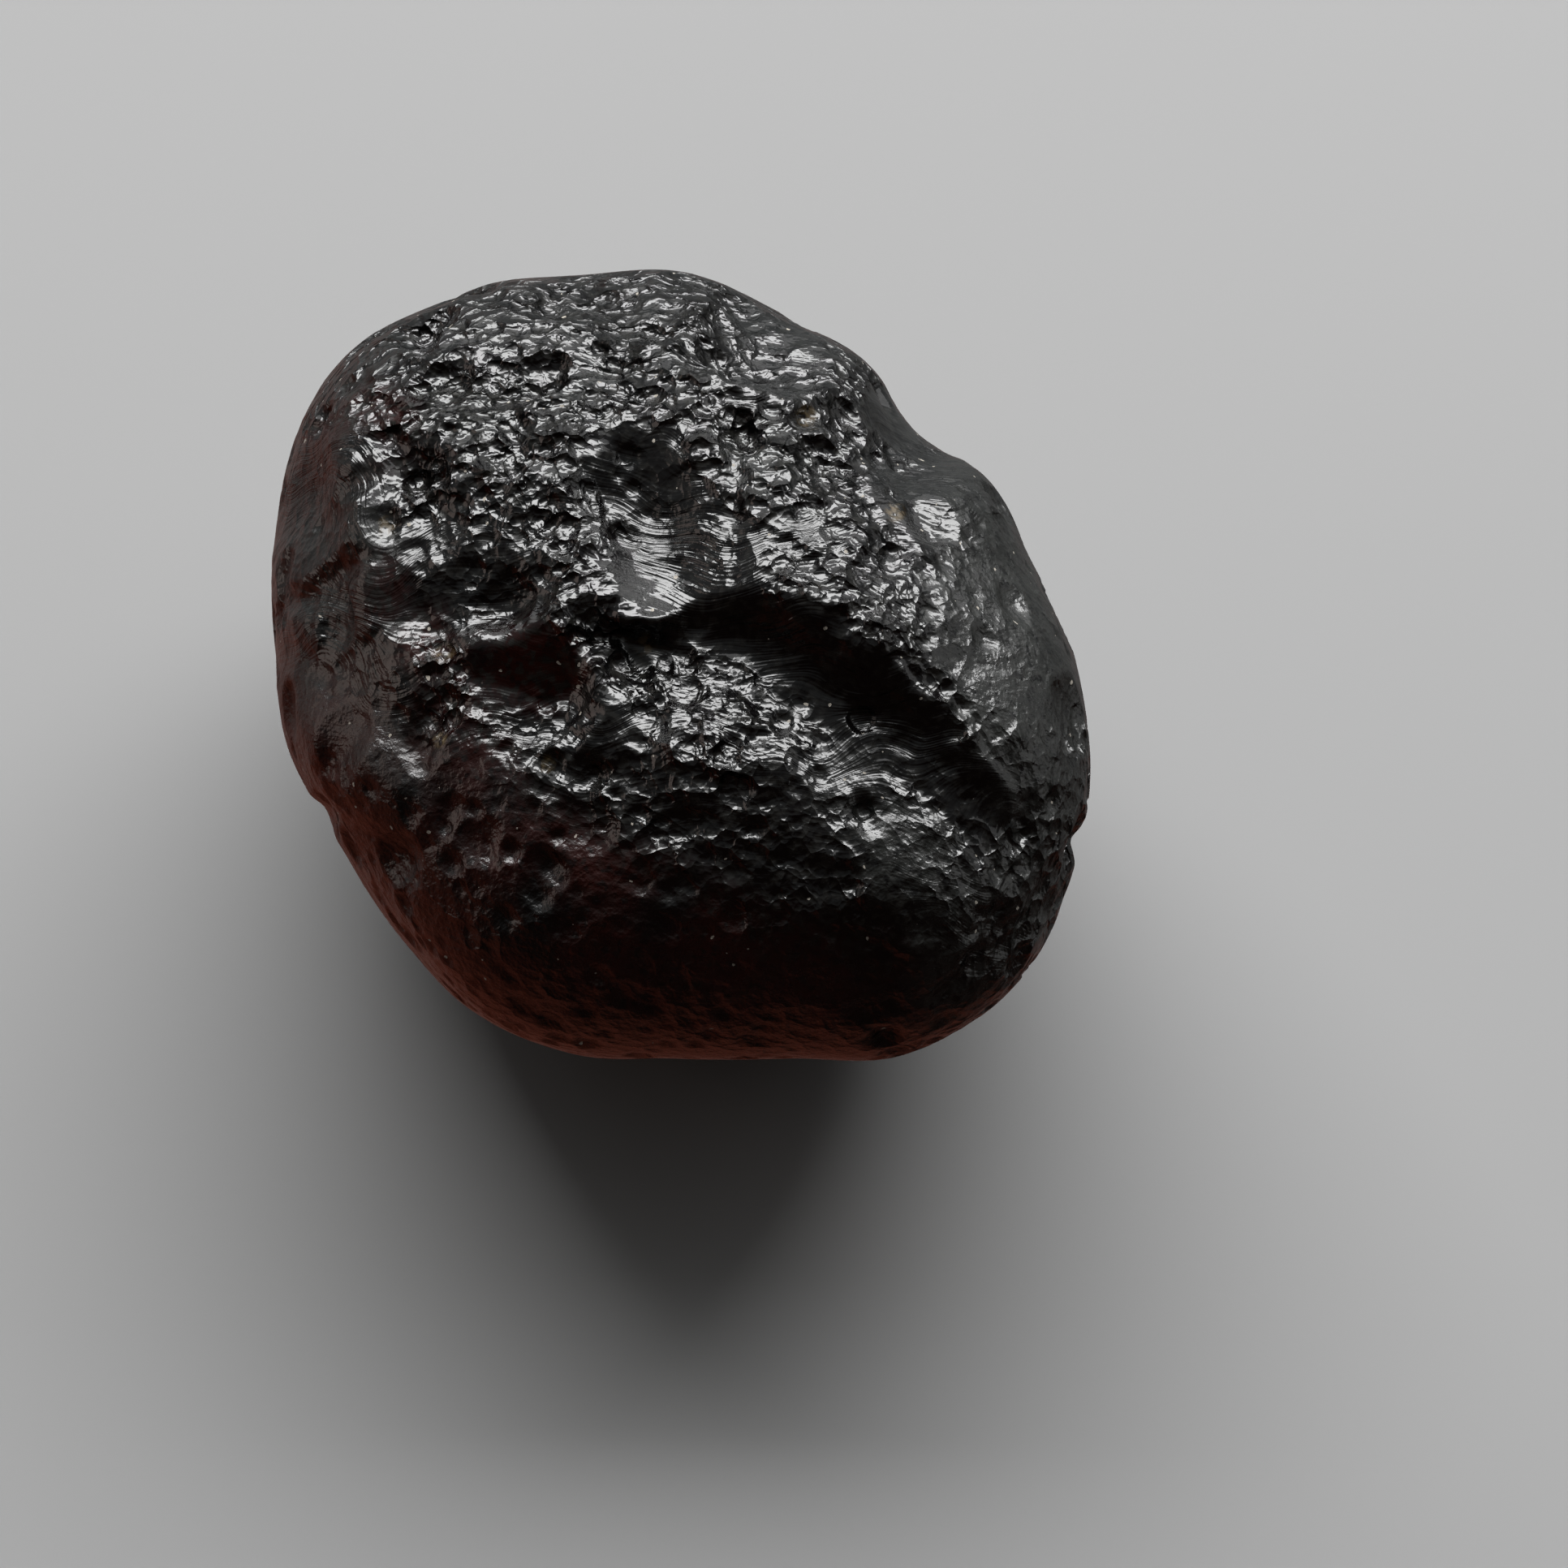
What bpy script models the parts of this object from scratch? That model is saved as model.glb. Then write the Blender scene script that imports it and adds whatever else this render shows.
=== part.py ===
"""A tektite: one lump of black natural glass, 37 mm long, lying on its broad underside.

The lump is a flattened ellipsoid whose outline was pulled out of true while the glass was hot. Its
upper front side, here called the face, carries the large hollows: a long scarp with a valley under
it, pockets, cups and creases. The rest of the skin has shallow round dimples.

The solid is one closed body. Its origin is on the surface that it lies on, under the middle of its
box, with +Z up. The face looks along -Y and up.
"""

import math

import bmesh
import bpy
import numpy as np
from mathutils import Vector, noise

MM = 0.001

# Driving dimensions, in millimetres: the half axes of the lump as it lies.
HALF_LENGTH = 18.1
HALF_BREADTH = 13.8
HALF_HEIGHT = 12.0
LENGTH_TURN = math.radians(128)  # the long axis, turned from +X about +Z

# The face's own frame: across is +X, up is the far side, out is where the face looks.
FACE_ELEVATION = math.radians(60)
ACROSS = np.array([1.0, 0.0, 0.0])
UP = np.array([0.0, math.sin(FACE_ELEVATION), math.cos(FACE_ELEVATION)])
OUT = np.array([0.0, -math.cos(FACE_ELEVATION), math.sin(FACE_ELEVATION)])

FACE_FULLNESS = 2.7  # 2 leaves the face on the ellipsoid; more makes it flatter with fuller shoulders

# The lump's outline seen square to the face, as its radius every 15 degrees from across to up.
OUTLINE_RADII = (
    15.1, 13.9, 13.2, 12.7, 13.4, 13.7, 14.5, 15.1, 16.4, 17.2, 16.8, 16.0,
    15.2, 14.7, 14.2, 14.6, 15.1, 15.1, 15.0, 15.8, 17.1, 17.5, 16.8, 16.1,
)  # fmt: skip

WORN_FLAT_DEPTH = 0.3  # how much of the underside is worn off flat, where the lump rests
WORN_ROUND = 2.0  # the height over the lowest point below which the wear has smoothed the hollows

# Round and oval hollows of the face: across, up, half width, half height, turn in degrees, depth.
# A negative depth is a swelling.
HOLLOWS = {
    "bowl's head": (-1.3, 6.5, 2.6, 2.3, -25, 0.60),
    "ridge's crest": (1.9, -3.8, 4.2, 2.8, -28, -0.45),
    "right plateau": (5.0, 6.4, 3.2, 3.8, 0, -0.45),
    "upper right bowl": (3.1, 11.6, 2.8, 1.7, -18, 1.30),
    "smooth facet": (8.2, 9.2, 1.6, 2.2, -30, 0.35),
    "right scoop": (8.6, 7.4, 1.7, 2.3, 20, 0.60),
    "right shoulder": (7.0, 1.4, 4.0, 3.6, 0, -0.50),
    "right lobe": (11.4, 6.0, 2.2, 2.6, 30, -0.35),
    "outline notch": (9.8, 8.2, 1.1, 1.1, 0, 0.20),
    "left scallop": (-13.9, 5.8, 1.9, 2.8, 0, 0.70),
    "lower left scallop": (-12.4, -0.6, 2.4, 2.1, -35, 0.50),
    "corner scallop": (-10.2, -2.6, 2.0, 1.8, -30, 0.18),
    "dark hollow": (-9.8, 6.7, 1.6, 1.4, 0, 0.50),
    "upper left hollow": (-6.6, 10.3, 3.2, 1.6, 8, 0.60),
    "ring hollow": (-2.4, 11.6, 1.4, 1.0, 0, 0.40),
    "pocket's deep end": (-4.3, -1.0, 1.2, 1.3, -25, 0.30),
    "left notch": (-13.4, -5.9, 0.9, 1.1, 0, 0.35),
    "right notch": (15.0, -6.9, 0.9, 0.9, 0, 0.40),
    "lower right hollow": (6.6, -11.2, 3.0, 2.0, -40, 0.50),
}

# Cups are hollows with a crisp rim: across, up, radius, depth. The first rims the central bowl.
CUPS = (
    (-1.0, 5.6, 3.00, 0.36),
    (-3.1, -4.3, 1.05, 0.50),
    (-3.2, -6.2, 1.25, 0.40),
    (-4.7, -3.9, 0.75, 0.30),
    (3.1, -3.2, 0.65, 0.30),
    (1.7, -3.5, 0.60, 0.26),
    (-4.9, -7.6, 0.80, 0.32),
    (-7.2, -6.6, 0.90, 0.30),
    (-8.2, -5.5, 0.65, 0.26),
    (4.9, 9.1, 0.80, 0.36),
    (3.7, 9.4, 0.60, 0.26),
    (-9.5, 12.0, 0.60, 0.30),
    (-4.9, 13.1, 0.65, 0.30),
    (-5.9, 8.7, 0.60, 0.28),
    (-10.7, 4.9, 0.65, 0.28),
    (-4.3, 3.7, 0.80, 0.28),
    (-8.6, 0.2, 0.60, 0.26),
    (6.9, -1.9, 0.65, 0.22),
    (5.9, -5.9, 0.75, 0.16),
    (0.6, -8.2, 0.60, 0.22),
    (7.3, 3.2, 0.90, 0.22),
)

# Creases run along a path on the face. Each point of a path holds its place, across and up, the
# width above and below it (to its left and right), and the depth. A negative depth is a ridge.
CREASES = {
    "main valley": (
        (-3.8, 1.0, 0.7, 1.4, 0.00),
        (-2.2, 0.6, 0.9, 2.6, 0.80),
        (-0.4, 0.3, 1.2, 3.6, 1.20),
        (1.4, 0.3, 2.2, 3.9, 1.30),
        (3.0, 0.0, 2.3, 3.9, 1.35),
        (4.8, -0.7, 2.3, 3.9, 1.25),
        (6.5, -1.7, 2.3, 4.2, 1.00),
        (8.1, -3.0, 2.3, 4.8, 0.80),
        (9.4, -4.4, 2.3, 4.8, 0.60),
        (10.8, -6.0, 2.2, 4.2, 0.40),
        (12.2, -8.4, 1.6, 2.0, 0.00),
    ),
    "plateau's edge": (
        (-5.0, 1.5, 2.6, 0.9, 0.00),
        (-0.9, 1.3, 3.0, 1.0, -0.20),
        (1.8, 2.0, 3.0, 1.0, -0.18),
        (4.4, 1.5, 3.4, 1.1, -0.45),
        (6.6, 0.4, 3.0, 1.2, -0.40),
        (8.8, -0.8, 1.8, 1.0, -0.20),
        (11.2, -2.3, 1.3, 0.9, -0.12),
        (13.0, -3.9, 1.2, 0.9, -0.08),
        (14.0, -6.6, 1.6, 1.2, 0.00),
    ),
    "central bowl": (
        (-2.9, 8.8, 2.4, 0.9, 0.00),
        (-2.9, 7.6, 3.4, 1.2, 0.45),
        (-2.7, 6.3, 3.9, 1.5, 0.80),
        (-2.0, 5.0, 4.6, 1.6, 1.05),
        (-1.2, 3.8, 4.8, 1.7, 1.25),
        (-0.4, 2.7, 4.6, 1.7, 1.25),
        (0.5, 1.7, 3.6, 1.4, 0.85),
        (1.3, 0.8, 1.8, 1.1, 0.00),
    ),
    "shade": (
        (-11.4, 2.0, 1.2, 1.0, 0.00),
        (-9.4, 1.8, 2.8, 1.6, 0.60),
        (-7.0, 1.9, 3.4, 1.6, 0.75),
        (-5.2, 2.3, 3.0, 1.4, 0.55),
        (-4.0, 2.8, 1.2, 0.8, 0.00),
    ),
    "pocket": (
        (-9.2, -0.4, 0.8, 2.0, 0.00),
        (-7.7, -0.9, 1.4, 3.2, 0.45),
        (-6.0, -1.2, 1.9, 3.8, 0.70),
        (-4.6, -1.5, 1.9, 3.6, 0.75),
        (-3.7, -2.0, 1.4, 2.4, 0.50),
        (-3.2, -2.8, 0.6, 1.2, 0.00),
    ),
    "pocket's brow": (
        (-8.6, 0.9, 1.4, 0.7, 0.00),
        (-7.0, 1.0, 1.8, 0.8, -0.12),
        (-5.2, 1.2, 2.0, 0.8, -0.15),
        (-3.4, 1.2, 1.6, 0.9, -0.15),
        (-1.4, 1.2, 1.0, 0.8, 0.00),
    ),
    "valley's step": (
        (7.4, 0.0, 0.4, 0.5, 0.00),
        (8.6, -1.2, 0.5, 0.8, -0.25),
        (10.2, -2.6, 0.6, 0.9, -0.30),
        (11.6, -4.0, 0.5, 0.8, -0.25),
        (12.6, -5.6, 0.4, 0.5, 0.00),
    ),
    "pocket's end wall": (
        (-3.0, 0.6, 1.0, 1.2, 0.00),
        (-2.9, -0.8, 1.1, 1.4, -0.12),
        (-3.1, -2.2, 1.1, 1.4, -0.14),
        (-3.6, -3.4, 0.9, 1.0, 0.00),
    ),
    "fold": (
        (2.9, 9.8, 0.7, 0.7, 0.00),
        (2.6, 8.4, 0.6, 0.7, 0.20),
        (2.2, 6.6, 0.5, 0.7, 0.20),
        (2.3, 4.6, 0.5, 0.7, 0.15),
        (2.5, 2.8, 0.5, 0.7, 0.10),
        (2.7, 1.8, 0.7, 0.7, 0.00),
    ),
    "bowl's lip": (
        (-1.6, 11.6, 0.9, 1.2, 0.00),
        (0.2, 11.0, 1.2, 1.6, -0.30),
        (2.0, 10.4, 1.3, 1.8, -0.45),
        (4.0, 10.0, 1.3, 1.8, -0.40),
        (6.4, 10.0, 0.9, 1.2, 0.00),
    ),
    "top channel": (
        (-5.6, 14.2, 0.8, 0.9, 0.00),
        (-3.6, 13.8, 1.0, 1.1, 0.45),
        (-1.6, 13.3, 1.2, 1.2, 0.50),
        (0.8, 12.6, 1.0, 1.0, 0.00),
    ),
    "left rib": (
        (-11.4, 11.2, 1.0, 1.2, 0.00),
        (-12.1, 8.6, 1.4, 1.6, -0.35),
        (-11.9, 6.0, 1.4, 1.6, -0.35),
        (-11.5, 3.4, 1.4, 1.4, -0.35),
        (-10.8, 0.6, 1.0, 1.0, 0.00),
    ),
    "left crease": (
        (-14.6, 2.2, 0.6, 0.8, 0.30),
        (-13.4, 2.7, 0.7, 1.0, 0.45),
        (-12.2, 3.4, 0.6, 0.9, 0.35),
        (-11.0, 4.0, 0.5, 0.6, 0.00),
    ),
    "lower left edge": (
        (-14.4, -1.0, 1.4, 2.0, -0.20),
        (-12.4, -3.4, 1.6, 2.4, -0.40),
        (-10.2, -4.8, 1.6, 2.4, -0.40),
        (-9.2, -6.8, 1.4, 2.0, 0.00),
    ),
    "lower right fold": (
        (8.6, -12.6, 0.6, 0.8, 0.00),
        (10.4, -11.7, 0.8, 1.0, 0.30),
        (12.2, -10.4, 0.8, 1.0, 0.40),
        (13.4, -8.8, 0.8, 1.0, 0.35),
        (14.2, -6.9, 0.6, 0.8, 0.00),
    ),
}

# The relief's places are shifted by a soft noise, so that no form is a true circle or line.
WANDERS = ((3.2, 0.45), (1.3, 0.16))  # wavelength and reach
CREASE_STEPS = 6  # points put between two points of a crease

# Broad soft dimples cover the sides and the back, and small crisp pits the whole skin but for the
# smooth stretch at the face's lower left.
DIMPLE_COUNT = 46
DIMPLE_RADII = (1.6, 3.6)
DIMPLE_DEPTHS = (0.25, 0.60)
PIT_COUNT = 130
PIT_RADII = (0.9, 1.7)
PIT_STEEPNESS = 0.34  # a pit's depth over its radius
# The pits leave these round patches of the face free: across, up, radius.
PIT_FREE = (
    (-2.0, -11.0, 8.5),
    (-1.4, 6.0, 3.0),
    (0.4, 3.2, 2.4),
    (3.0, 1.0, 2.0),
    (6.5, -0.8, 2.4),
    (10.0, -3.6, 3.0),
    (-5.4, -0.9, 2.6),
    (11.3, -0.3, 2.2),
    (-8.8, 3.0, 2.0),
)
FACE_EDGE = 3.0  # the height over the outline's plane at which the face's own relief is full

# Soft lumps all over: wavelength and height.
LUMPS = ((11.0, 0.45), (4.5, 0.16))

SPHERE_SUBDIVISIONS = 7
TRIANGLE_SHARE = 0.117  # the share of the sphere's 81920 triangles that is kept
SEED = 7


def smooth_step(low, high, value):
    """0 at low, 1 at high, and an even curve between them."""
    share = np.clip((value - low) / (high - low), 0.0, 1.0)
    return share * share * (3.0 - 2.0 * share)


def bell(share):
    """1 in the middle, 0 at share 1 and beyond, level at both."""
    return np.clip(1.0 - share * share, 0.0, 1.0) ** 2


def bowl(share):
    """1 in the middle and 0 at share 1, where it ends in a crisp rim."""
    return np.clip(1.0 - share * share, 0.0, 1.0)


def ellipsoid_matrix():
    """The lump as it lies: p is on its surface where p . M . p is 1."""
    turn = np.array(
        [
            [math.cos(LENGTH_TURN), -math.sin(LENGTH_TURN), 0.0],
            [math.sin(LENGTH_TURN), math.cos(LENGTH_TURN), 0.0],
            [0.0, 0.0, 1.0],
        ]
    )
    axes = np.diag([HALF_LENGTH**-2, HALF_BREADTH**-2, HALF_HEIGHT**-2])
    return turn @ axes @ turn.T


def outline_of_ellipsoid(matrix, angle):
    """The ellipsoid's own outline radius seen along OUT, at an angle from across to up."""
    shadow = np.stack([ACROSS, UP]) @ np.linalg.inv(matrix) @ np.stack([ACROSS, UP]).T
    ray = np.stack([np.cos(angle), np.sin(angle)], axis=-1)
    return (np.einsum("ni,ij,nj->n", ray, np.linalg.inv(shadow), ray)) ** -0.5


def drawn_outline(angle):
    """The outline radius at an angle, on a smooth closed curve through OUTLINE_RADII."""
    radii = np.array(OUTLINE_RADII)
    place = (angle / (2 * math.pi)) % 1.0 * len(radii)
    index = np.floor(place).astype(int)
    share = place - index
    before, here, after, beyond = (radii[(index + k) % len(radii)] for k in (-1, 0, 1, 2))
    slope_here, slope_after = (after - before) / 2, (beyond - here) / 2
    return (
        here * (1 + 2 * share) * (1 - share) ** 2
        + slope_here * share * (1 - share) ** 2
        + after * share**2 * (3 - 2 * share)
        + slope_after * share**2 * (share - 1)
    )


def face_swelling(points, matrix):
    """How far the face stands out beyond the ellipsoid, which makes it flatter, with fuller shoulders."""
    axes = np.stack([ACROSS, UP, OUT])
    spread = axes @ np.linalg.inv(matrix) @ axes.T
    shadow = np.linalg.inv(spread[:2, :2])
    lean = spread[2, :2] @ shadow
    height = math.sqrt(spread[2, 2] - lean @ spread[:2, 2])
    seen = points @ axes.T
    share = np.sqrt(np.clip(np.einsum("ni,ij,nj->n", seen[:, :2], shadow, seen[:, :2]), 0.0, 1.0))
    fuller = (1.0 - share**FACE_FULLNESS) ** (1.0 / FACE_FULLNESS)
    on_front = seen[:, 2] > seen[:, :2] @ lean
    return np.where(on_front, height * (fuller - np.sqrt(1.0 - share**2)), 0.0)


def base_surface(directions):
    """Points on the lump before any relief, and the ellipsoid's normals there."""
    matrix = ellipsoid_matrix()
    reach = np.einsum("ni,ij,nj->n", directions, matrix, directions) ** -0.5
    swelling = face_swelling(directions * reach[:, None], matrix)
    across, up, out = (directions @ axis for axis in (ACROSS, UP, OUT))
    angle = np.arctan2(up, across)
    pull = drawn_outline(angle) / outline_of_ellipsoid(matrix, angle) - 1.0
    near_outline = smooth_step(0.35, 0.97, np.hypot(across, up))
    points = directions * (reach * (1.0 + pull * near_outline))[:, None]
    normals = points @ matrix
    normals /= np.linalg.norm(normals, axis=1)[:, None]
    return points + swelling[:, None] * OUT, normals


def smooth_path(path):
    """The crease's points with CREASE_STEPS between each two, on a curve through all of them."""
    points = np.array(path)
    padded = np.vstack([2 * points[0] - points[1], points, 2 * points[-1] - points[-2]])
    curve = [points[0]]
    for before, here, after, beyond in zip(padded, padded[1:], padded[2:], padded[3:]):
        for share in np.arange(1, CREASE_STEPS + 1) / CREASE_STEPS:
            curve.append(
                here * (1 + 2 * share) * (1 - share) ** 2
                + (after - before) / 2 * share * (1 - share) ** 2
                + after * share**2 * (3 - 2 * share)
                + (beyond - here) / 2 * share**2 * (share - 1)
            )
    return np.array(curve)


def crease_relief(across, up, path):
    """The depth of one crease: each point of the skin takes it from the nearest spot of the path."""
    curve = smooth_path(path)
    nearest = np.full(len(across), np.inf)
    sunk = np.zeros(len(across))
    for start, end in zip(curve, curve[1:]):
        heading = end[:2] - start[:2]
        length = np.linalg.norm(heading)
        heading /= length
        east, north = across - start[0], up - start[1]
        along = np.clip(east * heading[0] + north * heading[1], 0.0, length)
        gap = np.hypot(east - along * heading[0], north - along * heading[1])
        above, below, depth = (
            start[k] + (end[k] - start[k]) * along / length for k in (2, 3, 4)
        )
        on_left = north * heading[0] - east * heading[1] >= 0.0
        closer = gap < nearest
        nearest = np.where(closer, gap, nearest)
        sunk = np.where(closer, depth * bell(gap / np.where(on_left, above, below)), sunk)
    return sunk


def wandered(points):
    """The points moved about by soft noise, for reading the relief from."""
    moved = points.copy()
    for wavelength, reach in WANDERS:
        moved += reach * np.array([noise.noise_vector(Vector(p) / wavelength) for p in points])
    return moved


def face_relief(across, up):
    """How far the face's skin is sunk below the base surface, in millimetres."""
    sunk = np.zeros(len(across))
    for path in CREASES.values():
        sunk += crease_relief(across, up, path)
    for east, north, half_width, half_height, turn, depth in HOLLOWS.values():
        cos, sin = math.cos(math.radians(turn)), math.sin(math.radians(turn))
        dx, dy = across - east, up - north
        reach = np.hypot((dx * cos + dy * sin) / half_width, (dy * cos - dx * sin) / half_height)
        sunk += depth * bell(reach / 1.15)
    for east, north, radius, depth in CUPS:
        sunk += depth * bowl(np.hypot(across - east, up - north) / radius)
    return sunk


def spread(count, random):
    """Unit directions spread evenly over the lump, each a little off its even place."""
    golden_turn = math.pi * (3.0 - math.sqrt(5.0))
    for index in range(count):
        height = 1.0 - (2.0 * index + 1.0) / count
        turn = index * golden_turn + random.uniform(-0.5, 0.5) / math.sqrt(count)
        level = math.sqrt(1.0 - height * height)
        yield np.array([level * math.cos(turn), level * math.sin(turn), height])


def dimple_relief(points):
    """The broad round dimples of the sides and the back."""
    random = np.random.default_rng(SEED)
    sunk = np.zeros(len(points))
    for place in spread(DIMPLE_COUNT, random):
        radius = random.uniform(*DIMPLE_RADII)
        depth = random.uniform(*DIMPLE_DEPTHS) * radius / DIMPLE_RADII[1]
        centre = place * (place @ ellipsoid_matrix() @ place) ** -0.5
        sunk += depth * bell(np.linalg.norm(points - centre, axis=1) / radius)
    return sunk


def pit_relief(points):
    """The small crisp pits. Where two meet, the deeper one holds."""
    random = np.random.default_rng(SEED + 1)
    sunk = np.zeros(len(points))
    centres, _ = base_surface(np.array(list(spread(PIT_COUNT, random))))
    for centre in centres:
        radius = PIT_RADII[0] + (PIT_RADII[1] - PIT_RADII[0]) * random.random() ** 2
        across, up = centre @ ACROSS, centre @ UP
        free = any(math.hypot(across - east, up - north) < reach for east, north, reach in PIT_FREE)
        if centre @ OUT < 0.0 or not free:
            gap = np.linalg.norm(points - centre, axis=1)
            sunk = np.maximum(sunk, PIT_STEEPNESS * radius * bowl(gap / radius))
    return sunk


def lump_relief(points):
    """The broad, soft unevenness of the whole skin."""
    raised = np.zeros(len(points))
    for wavelength, height in LUMPS:
        offset = Vector((wavelength, 2.0 * wavelength, 0.0))
        raised += height * np.array([noise.noise((Vector(p) + offset) / wavelength) for p in points])
    return raised


def skin(directions):
    """The finished surface over a set of unit directions, in millimetres from the lump's middle."""
    points, normals = base_surface(directions)
    read_at = wandered(points)
    across, up, out = (read_at @ axis for axis in (ACROSS, UP, OUT))
    on_face = smooth_step(-0.5 * FACE_EDGE, FACE_EDGE, out)
    sunk = on_face * face_relief(across, up) + (1.0 - on_face) * dimple_relief(read_at)
    sunk += pit_relief(read_at)
    sunk *= smooth_step(0.0, WORN_ROUND, points[:, 2] + HALF_HEIGHT)
    points = points + normals * (lump_relief(points) - sunk)[:, None]
    points[:, 2] = np.maximum(points[:, 2], WORN_FLAT_DEPTH - HALF_HEIGHT)
    return points


def vertices_of(mesh):
    """The mesh's vertices as an array of rows."""
    flat = np.empty(len(mesh.vertices) * 3)
    mesh.vertices.foreach_get("co", flat)
    return flat.reshape(-1, 3)


def glass_material():
    """Black natural glass with a fused, glossy skin."""
    material = bpy.data.materials.new("black_glass")
    material.use_nodes = True
    shader = material.node_tree.nodes["Principled BSDF"]
    shader.inputs["Base Color"].default_value = (0.013, 0.012, 0.012, 1.0)
    shader.inputs["Roughness"].default_value = 0.22
    shader.inputs["Metallic"].default_value = 0.0
    shader.inputs["IOR"].default_value = 1.5
    return material


def clear_scene():
    for obj in list(bpy.data.objects):
        bpy.data.objects.remove(obj)


def dense_sphere():
    """A sphere of even triangles, as a mesh of unit directions."""
    ball = bmesh.new()
    bmesh.ops.create_icosphere(ball, subdivisions=SPHERE_SUBDIVISIONS, radius=1.0)
    mesh = bpy.data.meshes.new("tektite")
    ball.to_mesh(mesh)
    ball.free()
    return mesh


def thinned(obj):
    """The object's mesh with the triangles that its gentle stretches don't need taken out."""
    modifier = obj.modifiers.new("Fewer triangles", "DECIMATE")
    modifier.ratio = TRIANGLE_SHARE
    graph = bpy.context.evaluated_depsgraph_get()
    mesh = bpy.data.meshes.new_from_object(obj.evaluated_get(graph))
    obj.modifiers.clear()
    return mesh


def settle(mesh):
    """Puts the origin under the middle of the box and makes the worn underside exactly flat."""
    points = vertices_of(mesh)
    low, high = points.min(axis=0), points.max(axis=0)
    points -= [(low[0] + high[0]) / 2, (low[1] + high[1]) / 2, low[2]]
    points[points[:, 2] < 0.005 * MM, 2] = 0.0
    mesh.vertices.foreach_set("co", points.ravel())
    mesh.update()


def build():
    clear_scene()
    noise.seed_set(SEED)
    collection = bpy.data.collections.new("tektite")
    bpy.context.scene.collection.children.link(collection)
    mesh = dense_sphere()
    tektite = bpy.data.objects.new("tektite", mesh)
    collection.objects.link(tektite)
    mesh.vertices.foreach_set("co", (skin(vertices_of(mesh)) * MM).ravel())
    mesh.update()
    tektite.data = thinned(tektite)
    settle(tektite.data)
    tektite.data.shade_smooth()
    tektite.data.materials.append(glass_material())
    return tektite


build()
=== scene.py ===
"""A tektite, a 37 mm lump of black natural glass, lying on a pale surface under soft studio light."""

import math

import bpy
import numpy as np
from mathutils import Matrix, Vector, kdtree, noise


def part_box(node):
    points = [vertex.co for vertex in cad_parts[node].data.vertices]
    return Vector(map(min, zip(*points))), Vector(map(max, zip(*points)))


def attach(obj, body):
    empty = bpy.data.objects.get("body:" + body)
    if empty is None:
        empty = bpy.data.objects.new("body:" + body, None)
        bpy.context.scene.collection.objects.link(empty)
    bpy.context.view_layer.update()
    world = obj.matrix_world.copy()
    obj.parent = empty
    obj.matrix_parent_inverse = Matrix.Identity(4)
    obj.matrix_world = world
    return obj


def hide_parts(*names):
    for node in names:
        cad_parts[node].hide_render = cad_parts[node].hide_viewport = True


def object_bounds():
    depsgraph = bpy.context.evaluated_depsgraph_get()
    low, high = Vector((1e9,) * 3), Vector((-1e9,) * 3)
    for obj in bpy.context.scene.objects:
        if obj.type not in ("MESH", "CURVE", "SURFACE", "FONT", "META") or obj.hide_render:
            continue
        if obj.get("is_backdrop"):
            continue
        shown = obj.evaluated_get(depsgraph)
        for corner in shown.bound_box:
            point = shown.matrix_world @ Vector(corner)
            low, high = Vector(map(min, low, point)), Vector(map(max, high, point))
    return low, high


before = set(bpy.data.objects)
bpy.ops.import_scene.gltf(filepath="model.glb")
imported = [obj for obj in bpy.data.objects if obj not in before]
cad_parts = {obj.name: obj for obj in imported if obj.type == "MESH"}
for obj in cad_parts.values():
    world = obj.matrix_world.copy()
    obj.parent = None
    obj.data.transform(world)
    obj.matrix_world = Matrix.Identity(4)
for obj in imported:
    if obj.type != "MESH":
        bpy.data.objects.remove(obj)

cad_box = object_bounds()
bpy.ops.object.select_all(action="DESELECT")


# ---- The lump ----
# One piece of black natural glass, thrown out molten and chilled in the air, then etched in the
# ground. It is a flattened ellipsoid pulled out of true, with valleys, a ridge and hollows on its
# face. Its glossy skin is eaten into small sharp-lipped pits and fine lines along the glass's flow.
MM = 0.001

# The half axes of the lump as it lies, in millimetres.
HALF_LENGTH = 18.1
HALF_BREADTH = 13.8
HALF_HEIGHT = 12.0
LENGTH_TURN = math.radians(128)  # the long axis, turned from +X about +Z

# The face's own frame: across is +X, up is the far side, out is where the face looks.
FACE_ELEVATION = math.radians(60)
ACROSS = np.array([1.0, 0.0, 0.0])
UP = np.array([0.0, math.sin(FACE_ELEVATION), math.cos(FACE_ELEVATION)])
OUT = np.array([0.0, -math.cos(FACE_ELEVATION), math.sin(FACE_ELEVATION)])

FACE_FULLNESS = 2.7  # 2 leaves the face on the ellipsoid; more makes it flatter with fuller shoulders

# The lump's outline seen square to the face, as its radius every 15 degrees from across to up.
OUTLINE_RADII = (
    15.1, 13.9, 13.2, 12.7, 13.4, 13.7, 14.5, 15.1, 16.4, 17.2, 16.8, 16.0,
    15.2, 14.7, 14.2, 14.6, 15.1, 15.1, 15.0, 15.8, 17.1, 17.5, 16.8, 16.1,
)  # fmt: skip

WORN_FLAT_DEPTH = 0.3  # how much of the underside is worn off flat, where the lump rests
WORN_ROUND = 2.0  # the height over the lowest point below which the wear has smoothed the hollows

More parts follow.
